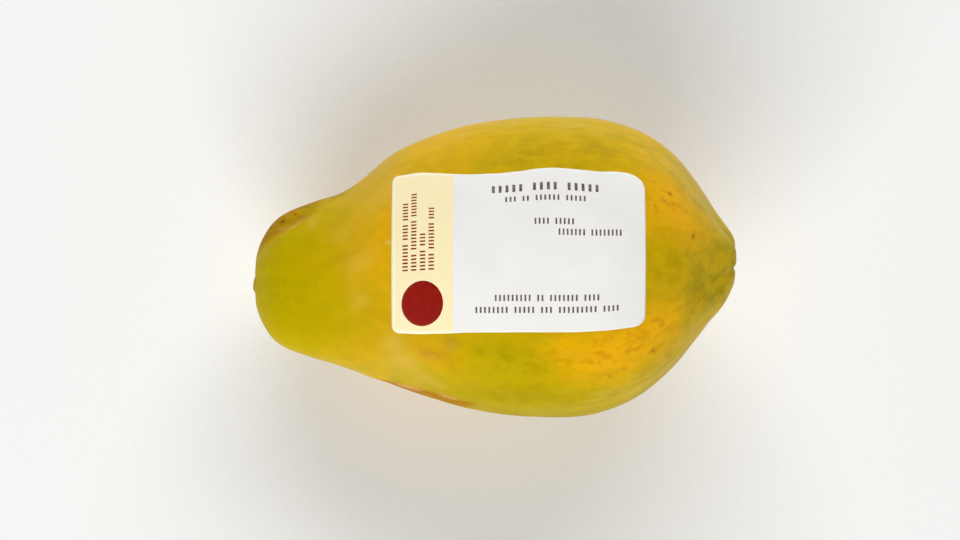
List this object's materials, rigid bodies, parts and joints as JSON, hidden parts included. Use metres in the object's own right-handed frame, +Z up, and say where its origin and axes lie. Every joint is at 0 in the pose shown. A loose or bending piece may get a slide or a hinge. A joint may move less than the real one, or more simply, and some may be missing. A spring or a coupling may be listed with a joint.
{
  "type": "papaya",
  "caption": "Whole ripe pear-shaped papaya lying on its side on a small flat spot, with a plain paper label on its upper side.",
  "frame": {"origin": "On the surface that the fruit lies on, below the middle of the fruit's bounding box.", "axes": "+X along the fruit from the stem end to the blossom end, +Y to the side that the fruit bows to, +Z up, so the label is on top."},
  "size_m": [0.15, 0.0932, 0.0913],
  "materials": {
    "papaya_skin": "satin",
    "label_paper": "matte"
  },
  "bodies": {
    "root": {"papaya_fruit": "papaya_skin", "paper_label": "label_paper"}
  },
  "joints": []
}
